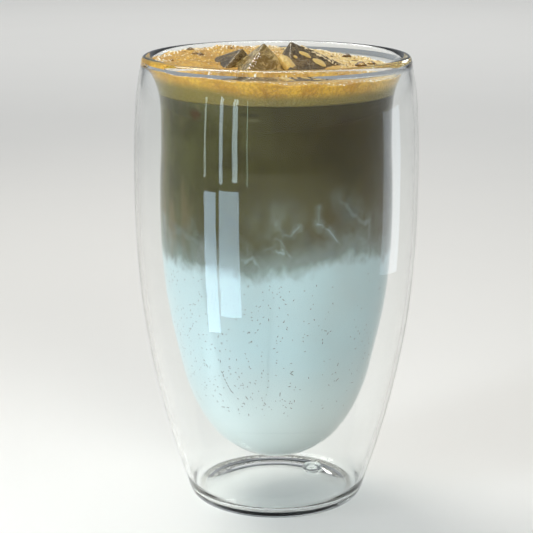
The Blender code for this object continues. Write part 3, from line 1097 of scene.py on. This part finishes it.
def makeBubbles(surface, trees):
    s = bubbleSettings
    draw = random.Random(s["seed"])
    line = drinkLine()
    reach = radiusAt(line, foamSurface["level"]) - s["fromWall"]
    places = []
    while len(places) < s["fine"]:
        # more of them at the back and on the right, where the froth is pale
        turn, share = draw.uniform(0, 2 * pi), draw.random() ** 0.5
        x, y = reach * share * cos(turn), reach * share * sin(turn)
        if draw.random() > 0.30 + 0.70 * max(0.0, min(1.0, (x + 0.8 * y + 0.012) / 0.040)):
            continue
        size = draw.uniform(*s["fineSize"])
        point = onFoam(surface, x, y, size * 0.2)
        if clearOfIce(trees, point, s["fromIce"]):
            places.append(domeAt(point, size, 0.8))
    fine = scatterCopies("fineBubbles", smallDome("fineBubble", 8, 5), places)
    # two tones: painted sparkle and painted shade
    dress(fine, bubbleFinish("frothBubble"), "foam")

    # white ones along the wall, most at the back; their white is painted sparkle
    places = []
    while len(places) < s["rim"]:
        turn = draw.uniform(0, 2 * pi)
        if draw.random() > 0.60 + 0.40 * sin(turn):
            continue
        size = draw.uniform(*s["rimSize"])
        away = reach - abs(draw.gauss(0, s["rimWidth"]))
        places.append(domeAt(onFoam(surface, away * cos(turn), away * sin(turn), size * 0.1), size))
    rim = scatterCopies("rimBubbles", smallDome("rimSparkleBubble", 8, 5), places)
    dress(rim, bubbleFinish("rimSparkleBubble"), "foam")

    places = [domeAt(onFoam(surface, x, y, size * -0.1), size, 0.75) for x, y, size in s["large"]]
    large = scatterCopies("largeBubbles", smallDome("largeBubble", 32, 20, -0.3), places)
    dress(large, bubbleFinish("filmBubble"), "foam")

    # the dark foot round each large bubble, painted shade where the bubble meets the foam
    selectOnly()
    bpy.ops.mesh.primitive_torus_add(major_segments=32, minor_segments=8, major_radius=1.0,
                                     minor_radius=s["ringWidth"], location=(0, 0, 0))
    ring = bpy.context.object
    places = [domeAt(onFoam(surface, x, y, size * -0.15), size) for x, y, size in s["large"]]
    footShades = scatterCopies("bubbleFootShades", ring, places)
    dress(footShades, bubbleFinish("filmFootShade"), "foam")


clinging = {
    "seed": 23,
    # foam heaped between the middle and the right block: middle, half sizes and lean in degrees
    "heap": ((0.0044, -0.0112, 0.1420), (0.0020, 0.0044, 0.0052), -42),
    "heapGrain": 0.00025,
    "heapRelief": 0.0007,
    "lumps": 0.0013,
    # pats of foam on the right block: distance from its top corner along its long and its short edge,
    # and half sizes
    "pats": ((0.0053, 0.0039, 0.0022, 0.0010), (0.0104, 0.0045, 0.0024, 0.0014),
             (0.0018, 0.0076, 0.0007, 0.0005)),
    "patDepth": 0.00050,
    "patRelief": 0.0005,
    # froth along the right block's far edge: how many, stretch of the edge, spread across it and size
    "edgeBubbles": 380,
    "edgeStretch": (0.004, 0.0235),
    "edgeSpread": 0.0009,
    "edgeSize": (0.00016, 0.00040),
    # white drops on the middle block's ridge, painted glints: how many, stretch of the ridge, shift
    # across it and size
    "glintDrops": 19,
    "glintStretch": (0.006, 0.0150),
    "glintShift": (-0.0002, 0.0014),
    "glintSize": (0.00010, 0.00026),
}


def blockAxes(name):
    _, corner, turn = iceBlocks[name]
    return Vector(corner), Euler([radians(angle) for angle in turn]).to_matrix()


def makeClinging(rooms):
    s = clinging
    draw = random.Random(s["seed"])
    middle, size, lean = s["heap"]
    tilt = Euler((0, radians(lean), 0)).to_quaternion()
    start = smallDome("heapStart", 48, 32, -0.95)
    heap = scatterCopies("frothHeap", start, [sized(middle, tilt, size)])
    texture = bpy.data.textures.new("heapLumps", "CLOUDS")
    texture.noise_scale = s["lumps"]
    applyModifier(heap, "REMESH", mode="VOXEL", voxel_size=s["heapGrain"])
    applyModifier(heap, "DISPLACE", texture=texture, strength=s["heapRelief"], mid_level=0.5)
    for room in rooms:
        cutWith(heap, room)
    smoothOver(heap, 60)
    froth = foamFinish("paleFroth", 0.6)
    dress(heap, froth, "foam")

    corner, axes = blockAxes("ice_right")
    pats = []
    for alongX, alongZ, halfX, halfZ in s["pats"]:
        point = corner - axes @ Vector((alongX, 0, alongZ))
        pats.append(sized(point, axes.to_quaternion(), (halfX, s["patDepth"], halfZ)))
    pat = scatterCopies("foamPats", smallDome("patStart", 32, 16, -0.9), pats)
    applyModifier(pat, "DISPLACE", texture=texture, strength=s["patRelief"], mid_level=0.5)
    smoothOver(pat, 60)
    dress(pat, froth, "foam")

    places = []
    for i in range(s["edgeBubbles"]):
        # more spread out towards the far end
        along = draw.uniform(*s["edgeStretch"])
        inward = abs(draw.gauss(0, s["edgeSpread"])) * (along / s["edgeStretch"][1]) * 1.6
        size = draw.uniform(*s["edgeSize"])
        point = corner - axes @ Vector((along, size * 0.2, inward))
        places.append(domeAt(point, size))
    edge = scatterCopies("iceEdgeBubbles", smallDome("edgeBubble", 8, 6), places)
    # two tones: painted sparkle and painted shade
    dress(edge, bubbleFinish("edgeFilm"), "foam")

    corner, axes = blockAxes("ice_middle")
    places = []
    for i in range(s["glintDrops"]):
        along = draw.uniform(*s["glintStretch"])
        size = draw.uniform(*s["glintSize"])
        point = corner - axes @ Vector((draw.uniform(*s["glintShift"]), 0, along))
        places.append(domeAt(point, size))
    glintDrops = scatterCopies("ridgeGlints", smallDome("ridgeGlint", 10, 7, -0.7), places)
    # the drops' white is painted glints
    dress(glintDrops, bubbleFinish("glintFilm"), "ice")


specks = {
    "seed": 5,
    "count": 640,
    "heights": (0.0350, 0.0800),
    "length": (0.00013, 0.00042),
    "width": 0.00010,
    # first and last turn of the crowded side in degrees, and its extra share
    "crowded": (-160.0, -80.0, 0.35),
    # larger bits: turn about the glass in degrees, height, lean in degrees, half length
    "long": ((-122.3, 0.0530, 85, 0.0006), (-121.5, 0.0494, 40, 0.0005), (-117.0, 0.0516, 20, 0.0004),
             (-108.0, 0.0413, -62, 0.0008), (-96.8, 0.0397, -60, 0.0006), (-108.2, 0.0350, 88, 0.0006),
             (-97.0, 0.0514, -80, 0.0004), (-81.2, 0.0501, -35, 0.0009), (-82.2, 0.0458, 10, 0.0005),
             (-87.6, 0.0431, 84, 0.0009), (-78.7, 0.0405, 88, 0.0005), (-65.0, 0.0600, 80, 0.0005),
             (-64.0, 0.0640, -20, 0.0006), (-62.5, 0.0630, 60, 0.0005), (-61.0, 0.0636, 30, 0.0004),
             (-53.0, 0.0515, 75, 0.0007), (-51.5, 0.0460, 40, 0.0008), (-41.0, 0.0555, 20, 0.0005),
             (-134.5, 0.0520, 0, 0.0005), (-133.0, 0.0503, -60, 0.0008)),
    # a string of them: first and last turn in degrees, first and last height, how many, and half length
    "string": (-122.5, -117.0, 0.0492, 0.0426, 8, 0.00042),
    "tones": ((0.045, 0.022, 0.008), (0.17, 0.10, 0.045)),
}


def makeSpecks():
    s = specks
    draw = random.Random(s["seed"])
    line = drinkLine()
    places = []

    def lay(turn, height, lean, length):
        out = Vector((cos(turn), sin(turn), 0))
        radius = radiusAt(line, height) + s["width"] * 0.3
        low, high = radiusAt(line, height - 0.001), radiusAt(line, height + 0.001)
        up = Vector((out.x * (high - low), out.y * (high - low), 0.002)).normalized()
        around = Vector((0, 0, 1)).cross(out)
        along = around * cos(lean) + up * sin(lean)
        across = up * cos(lean) - around * sin(lean)
        axes = Matrix((along, across, along.cross(across))).transposed()
        spot = out * radius + Vector((0, 0, height))
        places.append(sized(spot, axes.to_quaternion(), (length, s["width"], s["width"])))

    for i in range(s["count"]):
        height = draw.uniform(*s["heights"])
        firstTurn, lastTurn, extra = s["crowded"]
        turn = draw.uniform(firstTurn, lastTurn) if draw.random() < extra else draw.uniform(0, 360)
        lay(radians(turn), height, draw.uniform(0, pi), draw.uniform(*s["length"]))
    for turn, height, lean, length in s["long"]:
        lay(radians(turn), height, radians(lean), length)
    firstTurn, lastTurn, firstHeight, lastHeight, count, length = s["string"]
    for i in range(count):
        share = i / (count - 1)
        turn = firstTurn + share * (lastTurn - firstTurn)
        height = firstHeight + (1 - (1 - share) ** 1.4) * (lastHeight - firstHeight)
        lay(radians(turn), height, radians(-60 + 25 * share), length)
    bits = scatterCopies("milkSpecks", smallDome("speck", 6, 5, -0.9), places)
    finish, tree, shader = newMaterial("coffeeSpeck", {"Roughness": 0.7})
    tone = noiseNode(tree, objectPlace(tree), 300.0, 2.0, 0.5)
    tree.links.new(mixColor(tree, tone, *s["tones"]), shader.inputs["Base Color"])
    dress(bits, finish, "coffee")


# Ice

iceBlocks = {
    # size, highest corner, and turn in degrees about X, Y and Z
    "ice_middle": ((0.022, 0.017, 0.019), (-0.0037, -0.0125, 0.1502), (52.0, -46.8, -170.5)),
    "ice_right": ((0.024, 0.012, 0.019), (0.0043, -0.0035, 0.1497), (57.5, -25.5, -166.1)),
    "ice_left": ((0.015, 0.0155, 0.018), (-0.0105, -0.0060, 0.1478), (24.8, -49.5, -163.7)),
}

iceDetail = {
    "edge": 0.0006,
    "voxel": 0.00040,
    "waves": 0.00018,
    "waveSize": 0.006,
    "between": 0.0003,
    "intoIce": 0.00015,
}


def addBlock(name, size, corner, turn, grow=0.0):
    pose = Euler([radians(angle) for angle in turn])
    centre = Vector(corner) - pose.to_matrix() @ (Vector(size) / 2)
    selectOnly()
    bpy.ops.mesh.primitive_cube_add(size=1, location=centre, rotation=pose,
                                    scale=[side + 2 * grow for side in size])
    block = bpy.context.object
    block.name = name
    applyPlace(block)
    applyModifier(block, "BEVEL", width=iceDetail["edge"], segments=3)
    return block


def makeIce():
    # returns the blocks, and the rooms that coffee and foam leave for them
    litFinish, dark = iceFinish("litIce"), iceFinish("shadedIce")
    texture = bpy.data.textures.new("meltWaves", "CLOUDS")
    texture.noise_scale = iceDetail["waveSize"]
    blocks, cutters, rooms = [], [], []
    for name, (size, corner, turn) in iceBlocks.items():
        block = addBlock(name + "Block", size, corner, turn)
        rooms.append(addBlock(name + "Room", size, corner, turn, grow=-iceDetail["intoIce"]))
        for cutter in cutters:
            cutWith(block, cutter)
        applyModifier(block, "REMESH", mode="VOXEL", voxel_size=iceDetail["voxel"])
        applyModifier(block, "DISPLACE", texture=texture, strength=iceDetail["waves"], mid_level=0.6)
        cutters.append(addBlock(name + "Cutter", size, corner, turn, grow=iceDetail["between"]))
        smoothOver(block, 180)
        # the middle block gets the painted lit copy, the others the painted shaded one
        dress(block, litFinish if name == "ice_middle" else dark, "ice", name)
        blocks.append(block)
    for cutter in cutters:
        removePiece(cutter)
    return blocks, rooms


# Build

addCamera()
for name, values in softboxes.items():
    addSoftbox(name, *values)
addWorld()
selectOnly()
bpy.ops.mesh.primitive_plane_add(size=studio["floorSize"], location=(0, 0, 0))
floor = bpy.context.object
floor.name = "floor"
applyPlace(floor)
setMaterial(floor, floorFinish())
floor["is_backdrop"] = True
print("studio: camera, floor and", len(softboxes), "soft boxes")

makeGlass()
makeSeal()
print("glass and seal done")
blocks, rooms = makeIce()
print("ice done:", len(iceBlocks), "blocks")
makeMilk()
makeCoffee(rooms)
foam = makeFoam(rooms)
makeBubbles(surfaceOf(foam), [surfaceOf(block) for block in blocks])
makeClinging(rooms)
makeSpecks()
for room in rooms:
    removePiece(room)
print("milk, coffee and foam done")
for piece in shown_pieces():
    print(piece.name, sum(len(poly.vertices) - 2 for poly in piece.data.polygons), "triangles")
